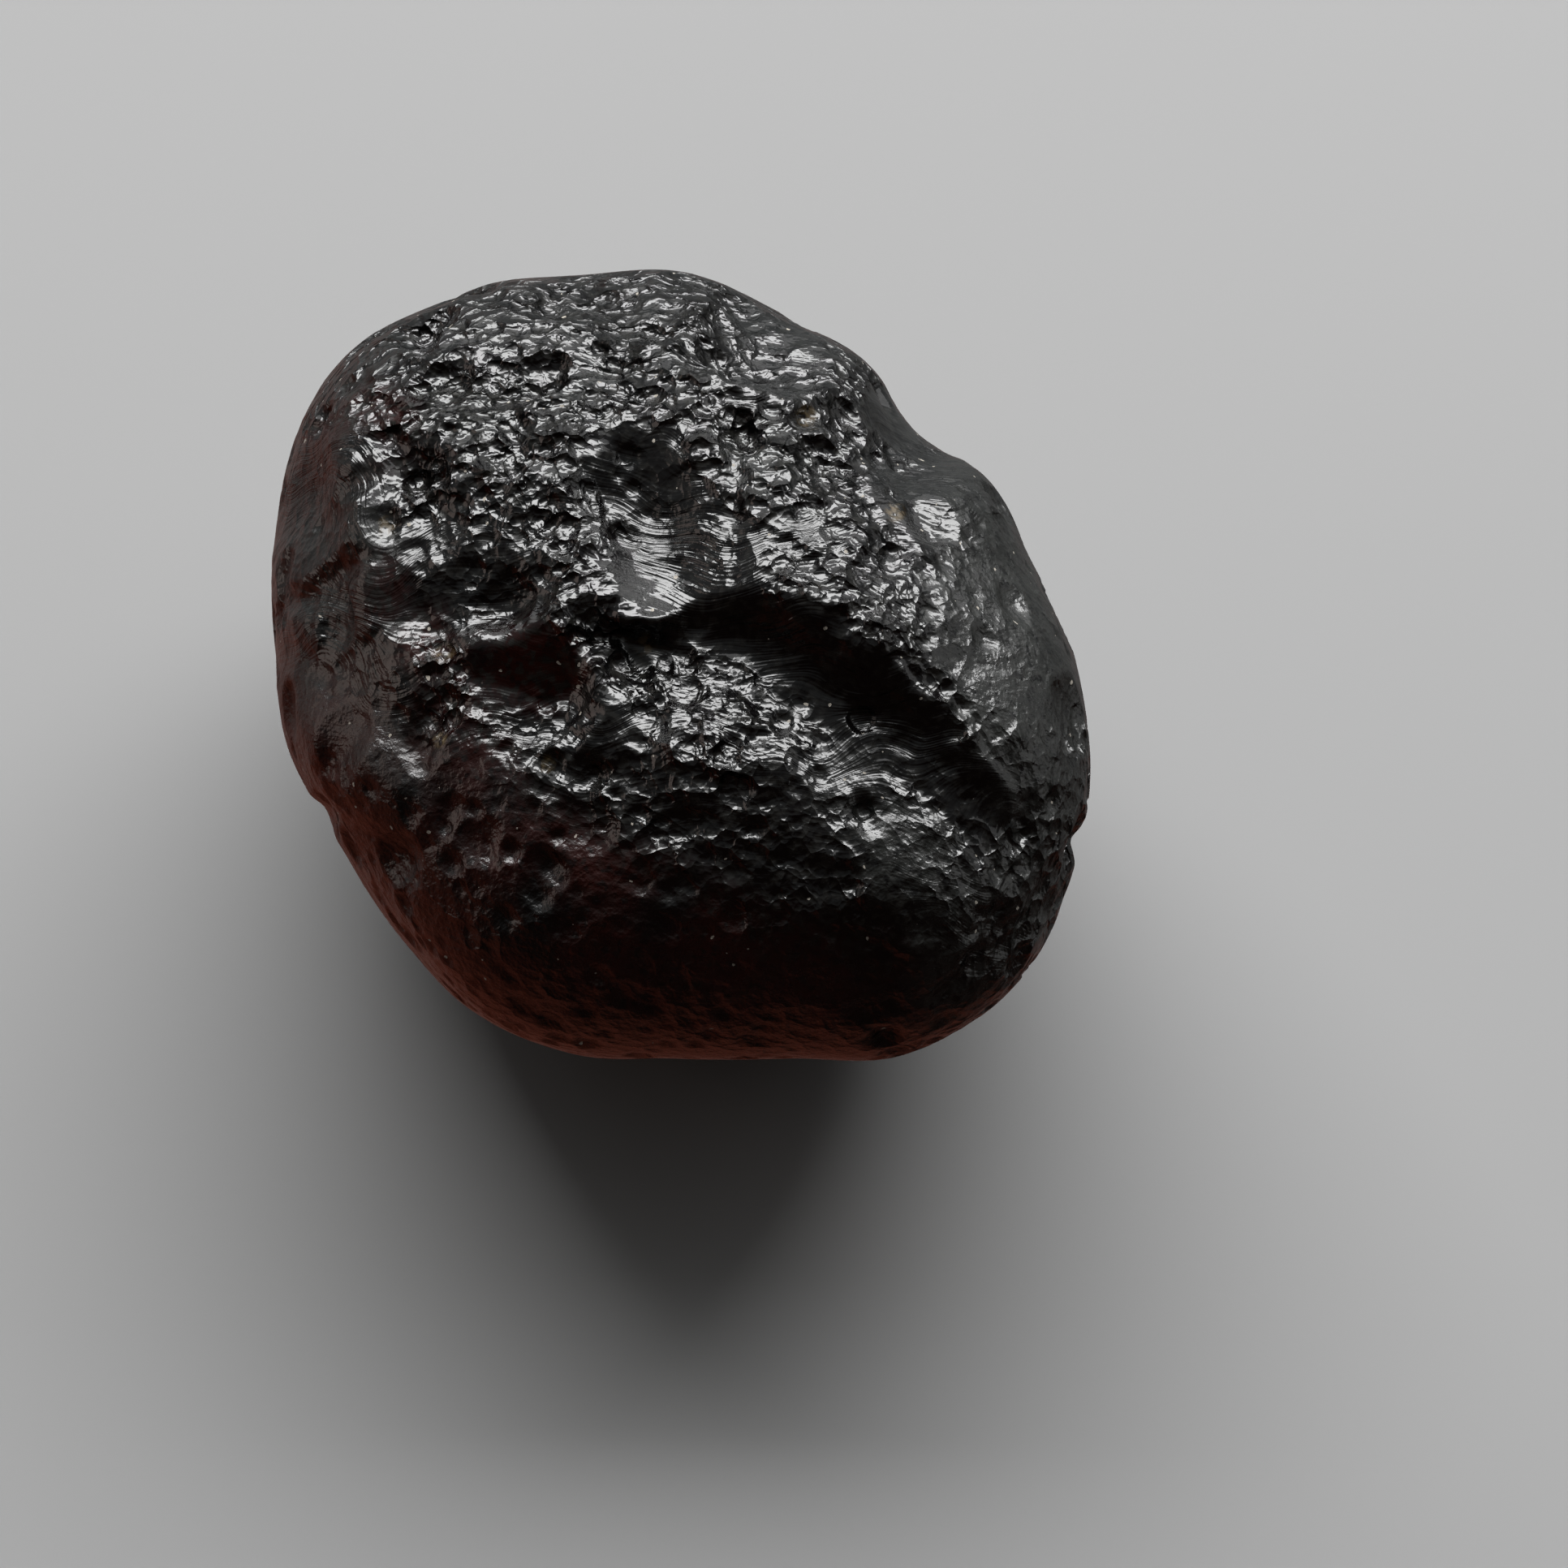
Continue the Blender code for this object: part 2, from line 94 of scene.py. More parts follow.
# Round and oval hollows of the face: across, up, half width, half height, turn in degrees, depth.
# A negative depth is a swelling.
HOLLOWS = {
    "bowl's head": (-1.3, 6.5, 2.6, 2.3, -25, 0.60),
    "ridge's crest": (1.9, -3.8, 4.2, 2.8, -28, -0.45),
    "right plateau": (5.0, 6.4, 3.2, 3.8, 0, -0.45),
    "upper right bowl": (3.1, 11.6, 2.8, 1.7, -18, 1.30),
    "smooth facet": (8.2, 9.2, 1.6, 2.2, -30, 0.35),
    "right scoop": (8.6, 7.4, 1.7, 2.3, 20, 0.60),
    "right shoulder": (7.0, 1.4, 4.0, 3.6, 0, -0.50),
    "right lobe": (11.4, 6.0, 2.2, 2.6, 30, -0.35),
    "outline notch": (9.8, 8.2, 1.1, 1.1, 0, 0.20),
    "left scallop": (-13.9, 5.8, 1.9, 2.8, 0, 0.70),
    "lower left scallop": (-12.4, -0.6, 2.4, 2.1, -35, 0.50),
    "corner scallop": (-10.2, -2.6, 2.0, 1.8, -30, 0.18),
    "dark hollow": (-9.8, 6.7, 1.6, 1.4, 0, 0.50),
    "upper left hollow": (-6.6, 10.3, 3.2, 1.6, 8, 0.60),
    "ring hollow": (-2.4, 11.6, 1.4, 1.0, 0, 0.40),
    "pocket's deep end": (-4.3, -1.0, 1.2, 1.3, -25, 0.30),
    "left notch": (-13.4, -5.9, 0.9, 1.1, 0, 0.35),
    "right notch": (15.0, -6.9, 0.9, 0.9, 0, 0.40),
    "lower right hollow": (6.6, -11.2, 3.0, 2.0, -40, 0.50),
}

# Cups are hollows with a crisp rim: across, up, radius, depth. The first rims the central bowl.
CUPS = (
    (-1.0, 5.6, 3.00, 0.36),
    (-3.1, -4.3, 1.05, 0.50),
    (-3.2, -6.2, 1.25, 0.40),
    (-4.7, -3.9, 0.75, 0.30),
    (3.1, -3.2, 0.65, 0.30),
    (1.7, -3.5, 0.60, 0.26),
    (-4.9, -7.6, 0.80, 0.32),
    (-7.2, -6.6, 0.90, 0.30),
    (-8.2, -5.5, 0.65, 0.26),
    (4.9, 9.1, 0.80, 0.36),
    (3.7, 9.4, 0.60, 0.26),
    (-9.5, 12.0, 0.60, 0.30),
    (-4.9, 13.1, 0.65, 0.30),
    (-5.9, 8.7, 0.60, 0.28),
    (-10.7, 4.9, 0.65, 0.28),
    (-4.3, 3.7, 0.80, 0.28),
    (-8.6, 0.2, 0.60, 0.26),
    (6.9, -1.9, 0.65, 0.22),
    (5.9, -5.9, 0.75, 0.16),
    (0.6, -8.2, 0.60, 0.22),
    (7.3, 3.2, 0.90, 0.22),
)

# Creases run along a path on the face. Each point of a path holds its place, across and up, the
# width above and below it (to its left and right), and the depth. A negative depth is a ridge.
CREASES = {
    "main valley": (
        (-3.8, 1.0, 0.7, 1.4, 0.00),
        (-2.2, 0.6, 0.9, 2.6, 0.80),
        (-0.4, 0.3, 1.2, 3.6, 1.20),
        (1.4, 0.3, 2.2, 3.9, 1.30),
        (3.0, 0.0, 2.3, 3.9, 1.35),
        (4.8, -0.7, 2.3, 3.9, 1.25),
        (6.5, -1.7, 2.3, 4.2, 1.00),
        (8.1, -3.0, 2.3, 4.8, 0.80),
        (9.4, -4.4, 2.3, 4.8, 0.60),
        (10.8, -6.0, 2.2, 4.2, 0.40),
        (12.2, -8.4, 1.6, 2.0, 0.00),
    ),
    "plateau's edge": (
        (-5.0, 1.5, 2.6, 0.9, 0.00),
        (-0.9, 1.3, 3.0, 1.0, -0.20),
        (1.8, 2.0, 3.0, 1.0, -0.18),
        (4.4, 1.5, 3.4, 1.1, -0.45),
        (6.6, 0.4, 3.0, 1.2, -0.40),
        (8.8, -0.8, 1.8, 1.0, -0.20),
        (11.2, -2.3, 1.3, 0.9, -0.12),
        (13.0, -3.9, 1.2, 0.9, -0.08),
        (14.0, -6.6, 1.6, 1.2, 0.00),
    ),
    "central bowl": (
        (-2.9, 8.8, 2.4, 0.9, 0.00),
        (-2.9, 7.6, 3.4, 1.2, 0.45),
        (-2.7, 6.3, 3.9, 1.5, 0.80),
        (-2.0, 5.0, 4.6, 1.6, 1.05),
        (-1.2, 3.8, 4.8, 1.7, 1.25),
        (-0.4, 2.7, 4.6, 1.7, 1.25),
        (0.5, 1.7, 3.6, 1.4, 0.85),
        (1.3, 0.8, 1.8, 1.1, 0.00),
    ),
    "shade": (
        (-11.4, 2.0, 1.2, 1.0, 0.00),
        (-9.4, 1.8, 2.8, 1.6, 0.60),
        (-7.0, 1.9, 3.4, 1.6, 0.75),
        (-5.2, 2.3, 3.0, 1.4, 0.55),
        (-4.0, 2.8, 1.2, 0.8, 0.00),
    ),
    "pocket": (
        (-9.2, -0.4, 0.8, 2.0, 0.00),
        (-7.7, -0.9, 1.4, 3.2, 0.45),
        (-6.0, -1.2, 1.9, 3.8, 0.70),
        (-4.6, -1.5, 1.9, 3.6, 0.75),
        (-3.7, -2.0, 1.4, 2.4, 0.50),
        (-3.2, -2.8, 0.6, 1.2, 0.00),
    ),
    "pocket's brow": (
        (-8.6, 0.9, 1.4, 0.7, 0.00),
        (-7.0, 1.0, 1.8, 0.8, -0.12),
        (-5.2, 1.2, 2.0, 0.8, -0.15),
        (-3.4, 1.2, 1.6, 0.9, -0.15),
        (-1.4, 1.2, 1.0, 0.8, 0.00),
    ),
    "valley's step": (
        (7.4, 0.0, 0.4, 0.5, 0.00),
        (8.6, -1.2, 0.5, 0.8, -0.25),
        (10.2, -2.6, 0.6, 0.9, -0.30),
        (11.6, -4.0, 0.5, 0.8, -0.25),
        (12.6, -5.6, 0.4, 0.5, 0.00),
    ),
    "pocket's end wall": (
        (-3.0, 0.6, 1.0, 1.2, 0.00),
        (-2.9, -0.8, 1.1, 1.4, -0.12),
        (-3.1, -2.2, 1.1, 1.4, -0.14),
        (-3.6, -3.4, 0.9, 1.0, 0.00),
    ),
    "fold": (
        (2.9, 9.8, 0.7, 0.7, 0.00),
        (2.6, 8.4, 0.6, 0.7, 0.20),
        (2.2, 6.6, 0.5, 0.7, 0.20),
        (2.3, 4.6, 0.5, 0.7, 0.15),
        (2.5, 2.8, 0.5, 0.7, 0.10),
        (2.7, 1.8, 0.7, 0.7, 0.00),
    ),
    "bowl's lip": (
        (-1.6, 11.6, 0.9, 1.2, 0.00),
        (0.2, 11.0, 1.2, 1.6, -0.30),
        (2.0, 10.4, 1.3, 1.8, -0.45),
        (4.0, 10.0, 1.3, 1.8, -0.40),
        (6.4, 10.0, 0.9, 1.2, 0.00),
    ),
    "top channel": (
        (-5.6, 14.2, 0.8, 0.9, 0.00),
        (-3.6, 13.8, 1.0, 1.1, 0.45),
        (-1.6, 13.3, 1.2, 1.2, 0.50),
        (0.8, 12.6, 1.0, 1.0, 0.00),
    ),
    "left rib": (
        (-11.4, 11.2, 1.0, 1.2, 0.00),
        (-12.1, 8.6, 1.4, 1.6, -0.35),
        (-11.9, 6.0, 1.4, 1.6, -0.35),
        (-11.5, 3.4, 1.4, 1.4, -0.35),
        (-10.8, 0.6, 1.0, 1.0, 0.00),
    ),
    "left crease": (
        (-14.6, 2.2, 0.6, 0.8, 0.30),
        (-13.4, 2.7, 0.7, 1.0, 0.45),
        (-12.2, 3.4, 0.6, 0.9, 0.35),
        (-11.0, 4.0, 0.5, 0.6, 0.00),
    ),
    "lower left edge": (
        (-14.4, -1.0, 1.4, 2.0, -0.20),
        (-12.4, -3.4, 1.6, 2.4, -0.40),
        (-10.2, -4.8, 1.6, 2.4, -0.40),
        (-9.2, -6.8, 1.4, 2.0, 0.00),
    ),
    "lower right fold": (
        (8.6, -12.6, 0.6, 0.8, 0.00),
        (10.4, -11.7, 0.8, 1.0, 0.30),
        (12.2, -10.4, 0.8, 1.0, 0.40),
        (13.4, -8.8, 0.8, 1.0, 0.35),
        (14.2, -6.9, 0.6, 0.8, 0.00),
    ),
}

# The relief's places are shifted by a soft noise, so that no form is a true circle or line.
WANDERS = ((3.2, 0.45), (1.3, 0.16))  # wavelength and reach
CREASE_STEPS = 6  # points put between two points of a crease

# Broad soft dimples cover the sides and the back, and small crisp pits the whole skin but for the
# smooth stretch at the face's lower left.
DIMPLE_COUNT = 46
DIMPLE_RADII = (1.6, 3.6)
DIMPLE_DEPTHS = (0.25, 0.60)
PIT_COUNT = 130
PIT_RADII = (0.9, 1.7)
PIT_STEEPNESS = 0.34  # a pit's depth over its radius
# The pits leave these round patches of the face free: across, up, radius.
PIT_FREE = (
    (-2.0, -11.0, 8.5),
    (-1.4, 6.0, 3.0),
    (0.4, 3.2, 2.4),
    (3.0, 1.0, 2.0),
    (6.5, -0.8, 2.4),
    (10.0, -3.6, 3.0),
    (-5.4, -0.9, 2.6),
    (11.3, -0.3, 2.2),
    (-8.8, 3.0, 2.0),
)
FACE_EDGE = 3.0  # the height over the outline's plane at which the face's own relief is full

# Soft lumps all over: wavelength and height.
LUMPS = ((11.0, 0.45), (4.5, 0.16))

SEED = 7


def smooth_step(low, high, value):
    """0 at low, 1 at high, and an even curve between them."""
    share = np.clip((value - low) / (high - low), 0.0, 1.0)
    return share * share * (3.0 - 2.0 * share)


def bell(share):
    """1 in the middle, 0 at share 1 and beyond, level at both."""
    return np.clip(1.0 - share * share, 0.0, 1.0) ** 2


def bowl(share):
    """1 in the middle and 0 at share 1, where it ends in a crisp rim."""
    return np.clip(1.0 - share * share, 0.0, 1.0)


def ellipsoid_matrix():
    """The lump as it lies: p is on its surface where p . M . p is 1."""
    turn = np.array(
        [
            [math.cos(LENGTH_TURN), -math.sin(LENGTH_TURN), 0.0],
            [math.sin(LENGTH_TURN), math.cos(LENGTH_TURN), 0.0],
            [0.0, 0.0, 1.0],
        ]
    )
    axes = np.diag([HALF_LENGTH**-2, HALF_BREADTH**-2, HALF_HEIGHT**-2])
    return turn @ axes @ turn.T


def outline_of_ellipsoid(matrix, angle):
    """The ellipsoid's own outline radius seen along OUT, at an angle from across to up."""
    shadow = np.stack([ACROSS, UP]) @ np.linalg.inv(matrix) @ np.stack([ACROSS, UP]).T
    ray = np.stack([np.cos(angle), np.sin(angle)], axis=-1)
    return (np.einsum("ni,ij,nj->n", ray, np.linalg.inv(shadow), ray)) ** -0.5


def drawn_outline(angle):
    """The outline radius at an angle, on a smooth closed curve through OUTLINE_RADII."""
    radii = np.array(OUTLINE_RADII)
    place = (angle / (2 * math.pi)) % 1.0 * len(radii)
    index = np.floor(place).astype(int)
    share = place - index
    before, here, after, beyond = (radii[(index + k) % len(radii)] for k in (-1, 0, 1, 2))
    slope_here, slope_after = (after - before) / 2, (beyond - here) / 2
    return (
        here * (1 + 2 * share) * (1 - share) ** 2
        + slope_here * share * (1 - share) ** 2
        + after * share**2 * (3 - 2 * share)
        + slope_after * share**2 * (share - 1)
    )


def face_swelling(points, matrix):
    """How far the face stands out beyond the ellipsoid, which makes it flatter, with fuller shoulders."""
    axes = np.stack([ACROSS, UP, OUT])
    spread = axes @ np.linalg.inv(matrix) @ axes.T
    shadow = np.linalg.inv(spread[:2, :2])
    lean = spread[2, :2] @ shadow
    height = math.sqrt(spread[2, 2] - lean @ spread[:2, 2])
    seen = points @ axes.T
    share = np.sqrt(np.clip(np.einsum("ni,ij,nj->n", seen[:, :2], shadow, seen[:, :2]), 0.0, 1.0))
    fuller = (1.0 - share**FACE_FULLNESS) ** (1.0 / FACE_FULLNESS)
    on_front = seen[:, 2] > seen[:, :2] @ lean
    return np.where(on_front, height * (fuller - np.sqrt(1.0 - share**2)), 0.0)


def base_surface(directions):
    """Points on the lump before any relief, and the ellipsoid's normals there."""
    matrix = ellipsoid_matrix()
    reach = np.einsum("ni,ij,nj->n", directions, matrix, directions) ** -0.5
    swelling = face_swelling(directions * reach[:, None], matrix)
    across, up, out = (directions @ axis for axis in (ACROSS, UP, OUT))
    angle = np.arctan2(up, across)
    pull = drawn_outline(angle) / outline_of_ellipsoid(matrix, angle) - 1.0
    near_outline = smooth_step(0.35, 0.97, np.hypot(across, up))
    points = directions * (reach * (1.0 + pull * near_outline))[:, None]
    normals = points @ matrix
    normals /= np.linalg.norm(normals, axis=1)[:, None]
    return points + swelling[:, None] * OUT, normals


def smooth_path(path):
    """The crease's points with CREASE_STEPS between each two, on a curve through all of them."""
    points = np.array(path)
    padded = np.vstack([2 * points[0] - points[1], points, 2 * points[-1] - points[-2]])
    curve = [points[0]]
    for before, here, after, beyond in zip(padded, padded[1:], padded[2:], padded[3:]):
        for share in np.arange(1, CREASE_STEPS + 1) / CREASE_STEPS:
            curve.append(
                here * (1 + 2 * share) * (1 - share) ** 2
                + (after - before) / 2 * share * (1 - share) ** 2
                + after * share**2 * (3 - 2 * share)
                + (beyond - here) / 2 * share**2 * (share - 1)
            )
    return np.array(curve)


def crease_relief(across, up, path):
    """The depth of one crease: each point of the skin takes it from the nearest spot of the path."""
    curve = smooth_path(path)
    nearest = np.full(len(across), np.inf)
    sunk = np.zeros(len(across))
    for start, end in zip(curve, curve[1:]):
        heading = end[:2] - start[:2]
        length = np.linalg.norm(heading)
        heading /= length
        east, north = across - start[0], up - start[1]
        along = np.clip(east * heading[0] + north * heading[1], 0.0, length)
        gap = np.hypot(east - along * heading[0], north - along * heading[1])
        above, below, depth = (
            start[k] + (end[k] - start[k]) * along / length for k in (2, 3, 4)
        )
        on_left = north * heading[0] - east * heading[1] >= 0.0
        closer = gap < nearest
        nearest = np.where(closer, gap, nearest)
        sunk = np.where(closer, depth * bell(gap / np.where(on_left, above, below)), sunk)
    return sunk


def wandered(points):
    """The points moved about by soft noise, for reading the relief from."""
    moved = points.copy()
    for wavelength, reach in WANDERS:
        moved += reach * np.array([noise.noise_vector(Vector(p) / wavelength) for p in points])
    return moved


def face_relief(across, up):
    """How far the face's skin is sunk below the base surface, in millimetres."""
    sunk = np.zeros(len(across))
    for path in CREASES.values():
        sunk += crease_relief(across, up, path)
    for east, north, half_width, half_height, turn, depth in HOLLOWS.values():
        cos, sin = math.cos(math.radians(turn)), math.sin(math.radians(turn))
        dx, dy = across - east, up - north
        reach = np.hypot((dx * cos + dy * sin) / half_width, (dy * cos - dx * sin) / half_height)
        sunk += depth * bell(reach / 1.15)
    for east, north, radius, depth in CUPS:
        sunk += depth * bowl(np.hypot(across - east, up - north) / radius)
    return sunk


def spread(count, random):
    """Unit directions spread evenly over the lump, each a little off its even place."""
    golden_turn = math.pi * (3.0 - math.sqrt(5.0))
    for index in range(count):
        height = 1.0 - (2.0 * index + 1.0) / count
        turn = index * golden_turn + random.uniform(-0.5, 0.5) / math.sqrt(count)
        level = math.sqrt(1.0 - height * height)
        yield np.array([level * math.cos(turn), level * math.sin(turn), height])


def dimple_relief(points):
    """The broad round dimples of the sides and the back."""
    random = np.random.default_rng(SEED)
    sunk = np.zeros(len(points))
    for place in spread(DIMPLE_COUNT, random):
        radius = random.uniform(*DIMPLE_RADII)
        depth = random.uniform(*DIMPLE_DEPTHS) * radius / DIMPLE_RADII[1]
        centre = place * (place @ ellipsoid_matrix() @ place) ** -0.5
        sunk += depth * bell(np.linalg.norm(points - centre, axis=1) / radius)
    return sunk


def pit_relief(points):
    """The small crisp pits. Where two meet, the deeper one holds."""
    random = np.random.default_rng(SEED + 1)
    sunk = np.zeros(len(points))
    centres, _ = base_surface(np.array(list(spread(PIT_COUNT, random))))
    for centre in centres:
        radius = PIT_RADII[0] + (PIT_RADII[1] - PIT_RADII[0]) * random.random() ** 2
        across, up = centre @ ACROSS, centre @ UP
        free = any(math.hypot(across - east, up - north) < reach for east, north, reach in PIT_FREE)
        if centre @ OUT < 0.0 or not free:
            gap = np.linalg.norm(points - centre, axis=1)
            sunk = np.maximum(sunk, PIT_STEEPNESS * radius * bowl(gap / radius))
    return sunk


def lump_relief(points):
    """The broad, soft unevenness of the whole skin."""
    raised = np.zeros(len(points))
    for wavelength, height in LUMPS:
        offset = Vector((wavelength, 2.0 * wavelength, 0.0))
        raised += height * np.array([noise.noise((Vector(p) + offset) / wavelength) for p in points])
    return raised


def worn_form(directions):
    """The lump's form over a set of unit directions, in millimetres from its middle."""
    points, normals = base_surface(directions)
    read_at = wandered(points)
    across, up, out = (read_at @ axis for axis in (ACROSS, UP, OUT))
    on_face = smooth_step(-0.5 * FACE_EDGE, FACE_EDGE, out)
    sunk = on_face * face_relief(across, up) + (1.0 - on_face) * dimple_relief(read_at)
    sunk += pit_relief(read_at)
    sunk *= smooth_step(0.0, WORN_ROUND, points[:, 2] + HALF_HEIGHT)
    points = points + normals * (lump_relief(points) - sunk)[:, None]
    points[:, 2] = np.maximum(points[:, 2], WORN_FLAT_DEPTH - HALF_HEIGHT)
    return points


def rows_of(mesh, key):
    """The mesh's vertex positions or normals as an array of rows."""
    flat = np.empty(len(mesh.vertices) * 3)
    mesh.vertices.foreach_get(key, flat)
    return flat.reshape(-1, 3)


# The mesh starts as a cube that is subdivided and cast to a ball, with its points drawn towards the
# face, where the skin's detail is finest. The ball is then pressed to the form above.
BALL_LEVELS = 7
FACE_DRAW = 0.30

bpy.ops.mesh.primitive_cube_add(size=2.0)
lump = bpy.context.object
lump.name = "tektite_lump"
rounding = lump.modifiers.new("Subdivided", "SUBSURF")
rounding.levels = rounding.render_levels = BALL_LEVELS
casting = lump.modifiers.new("Cast to a ball", "CAST")
casting.factor = 1.0
for modifier in ("Subdivided", "Cast to a ball"):
    bpy.ops.object.modifier_apply(modifier=modifier)
skin = lump.data

noise.seed_set(SEED)
directions = rows_of(skin, "co")
directions /= np.linalg.norm(directions, axis=1)[:, None]
directions += FACE_DRAW * OUT
directions /= np.linalg.norm(directions, axis=1)[:, None]
points = worn_form(directions)
skin.vertices.foreach_set("co", points.ravel())
skin.update()

# The flow of the glass, as a height whose level lines the fine lines follow. It rises along up,
# and is combed another way over round patches of the face: across, up, radius, and the direction
# in degrees that it rises in there.
COMBED = (
    (-12.6, 4.6, 3.4, 20),
    (-12.0, -0.8, 3.0, 28),
    (-9.5, 12.0, 3.0, 130),
    (-3.5, -1.8, 2.2, 60),
    (3.4, -1.6, 2.6, 120),
    (6.3, -3.0, 2.4, 150),
    (11.3, -6.0, 3.0, 150),
    (8.5, 6.0, 2.4, 80),
    (1.0, 12.5, 3.0, 75),
    (7.8, -10.5, 3.5, 140),
    (13.5, -9.0, 3.0, 150),
    (-8.0, -9.0, 5.0, 120),
)
# Rings: the place and radius of the patch that they are seen in, the rings' own middle, and 1 where
# they sag below that middle or -1 where they arch over it.
RINGED = (
    (-1.2, 6.8, 3.0, -1.6, 2.4, -1),
    (0.3, 3.0, 2.4, 0.3, 7.0, 1),
    (-3.2, -7.0, 2.2, -3.2, -5.0, 1),
    (9.4, 5.6, 2.2, 8.0, 9.0, 1),
    (4.4, -2.6, 2.4, 4.4, -4.6, -1),
    (1.5, 7.6, 1.8, 1.5, 9.6, 1),
)
FLOW_WANDERS = ((6.0, 1.6), (2.2, 0.55))  # wavelength and reach


def flow_height(across, up, out):
    """The height whose level lines are the glass's flow lines, in millimetres."""
    height = up.copy()
    front = smooth_step(-2.0, 2.0, out)
    for east, north, radius, ring_east, ring_north, side in RINGED:
        gap = np.hypot(across - ring_east, up - ring_north)
        share = front * bell(np.hypot(across - east, up - north) / (radius * 1.3))
        height += share * (ring_north - side * gap - height)
    for east, north, radius, angle in COMBED:
        rise = math.cos(math.radians(angle)) * (across - east) + math.sin(math.radians(angle)) * (up - north)
        share = front * bell(np.hypot(across - east, up - north) / (radius * 1.3))
        height += share * (north + rise - height)
    return height


# How pitted and how finely combed the skin is over round patches of the face: across, up, radius,
# share of the pits' full depth, share of the lines' full depth.
SKIN_PATCHES = (
    (-14.0, 5.5, 3.6, 0.25, 0.9),
    (-12.5, -0.6, 3.2, 0.25, 0.9),
    (-9.6, 3.0, 2.2, 0.18, 0.5),
    (-7.0, 2.4, 2.4, 0.30, 0.5),
    (3.6, 11.5, 2.0, 0.45, 0.9),
    (-1.1, 6.2, 2.7, 0.16, 0.6),
    (-2.2, 3.2, 1.8, 0.50, 0.7),
    (-3.7, 5.6, 1.0, 0.80, 0.5),
    (-2.0, 4.4, 0.9, 0.75, 0.6),
    (-0.4, 3.0, 2.0, 0.15, 1.0),
    (1.4, 2.8, 1.6, 0.10, 0.9),
    (1.7, 4.6, 1.3, 0.15, 0.8),
    (4.8, 4.2, 1.4, 0.50, 0.8),
    (9.3, 6.1, 2.3, 0.25, 1.0),
    (8.2, 9.3, 1.4, 0.00, 0.3),
    (12.6, 1.2, 3.6, 0.30, 0.2),
    (-0.8, 0.4, 1.2, 0.05, 0.3),
    (1.8, 1.2, 1.6, 0.00, 0.5),
    (4.4, 0.4, 1.8, 0.05, 0.7),
    (6.8, -1.4, 1.8, 0.10, 0.8),
    (8.9, -3.4, 1.9, 0.10, 0.8),
    (10.8, -5.4, 2.0, 0.20, 0.7),
    (-5.5, -0.9, 2.1, 0.05, 0.3),
    (0.8, -1.6, 1.9, 0.60, 0.5),
    (3.4, -2.8, 2.0, 0.55, 0.5),
    (6.3, -4.4, 1.9, 0.35, 0.5),
    (8.4, -6.6, 2.0, 0.45, 0.4),
    (-3.2, -3.6, 2.6, 0.30, 0.6),
    (-1.0, -6.2, 3.0, 0.50, 0.4),
    (4.0, -7.8, 3.4, 0.60, 0.3),
    (9.0, -9.6, 3.6, 0.70, 0.4),
    (11.0, -12.0, 3.0, 0.80, 0.6),
    (-6.5, -4.8, 3.0, 0.35, 0.5),
)
PLAIN_SKIN = (1.0, 0.05)  # the same two shares on the face outside the patches
FAR_SKIN = (0.7, 0.4)  # and on the sides and the back
# Low on the face the skin grows smooth. The stretch's upper edge has a height, which falls towards
# the right, first faster, and past a turn slower, and a fade; it ends short of the right flank.
SMOOTH_LEVEL = -8.0
SMOOTH_SLOPES = (0.55, 0.2)
SMOOTH_TURN = 3.0
SMOOTH_FADE = 3.0
SMOOTH_RIGHT_END = (12.0, 7.0)
SMOOTH_LOSSES = (0.6, 0.5)  # how much of the pits' and of the lines' depth is lost on it


def skin_shares(across, up, out):
    """The shares of pits and of lines, and 1 on the smooth lower stretch of the face."""
    front = smooth_step(-3.0, 1.0, out)
    pitted, combed = (far + (plain - far) * front for far, plain in zip(FAR_SKIN, PLAIN_SKIN))
    for east, north, radius, pit_share, line_share in SKIN_PATCHES:
        held = front * smooth_step(1.2 * radius, 0.8 * radius, np.hypot(across - east, up - north))
        pitted += (pit_share - pitted) * held
        combed += (line_share - combed) * held
    faster, slower = SMOOTH_SLOPES
    level = SMOOTH_LEVEL - faster * np.minimum(across, SMOOTH_TURN)
    level -= slower * np.maximum(across - SMOOTH_TURN, 0.0)
    smooth = smooth_step(0.5 * SMOOTH_FADE, -0.5 * SMOOTH_FADE, up - level) * smooth_step(-6.0, -1.0, out)
    smooth *= smooth_step(*SMOOTH_RIGHT_END, across)
    pits_lost, lines_lost = SMOOTH_LOSSES
    return pitted * (1.0 - pits_lost * smooth), combed * (1.0 - lines_lost * smooth), smooth


# Round patches of the face that a grey film of weathered glass covers, that are tinted brown (partly the glass's
# own brown, partly a painted warm reflection), and
# that hold ochre soil: across, up, radius, share.
FILMED = (
    (13.2, 3.0, 3.4, 0.9),
    (11.4, 6.4, 1.9, 0.6),
    (12.8, -1.2, 2.8, 1.0),
    (10.4, 1.4, 2.2, 0.5),
    (13.6, -5.0, 1.8, 0.8),
    (12.8, -8.8, 2.0, 0.8),
    (10.8, -12.2, 2.4, 0.7),
    (6.3, -5.0, 1.6, 0.5),
    (8.2, -7.2, 1.9, 0.9),
    (10.2, -9.6, 1.9, 0.8),
    (-13.6, 4.0, 3.4, 0.4),
    (-12.3, -0.9, 2.8, 0.4),
    (-10.4, -3.4, 1.6, 0.5),
)
# The brown patches: the glass's own brown, and in part a painted warm reflection.
BROWNED_AND_WARM_REFLECTION = (
    (-8.4, -0.6, 2.4, 0.9),
    (-5.2, -0.4, 1.7, 0.7),
    (-10.4, -2.0, 1.4, 0.6),
    (-7.0, -4.6, 1.8, 0.7),
    (-11.9, 8.6, 2.2, 0.7),
    (-11.0, 2.6, 1.4, 0.6),
)
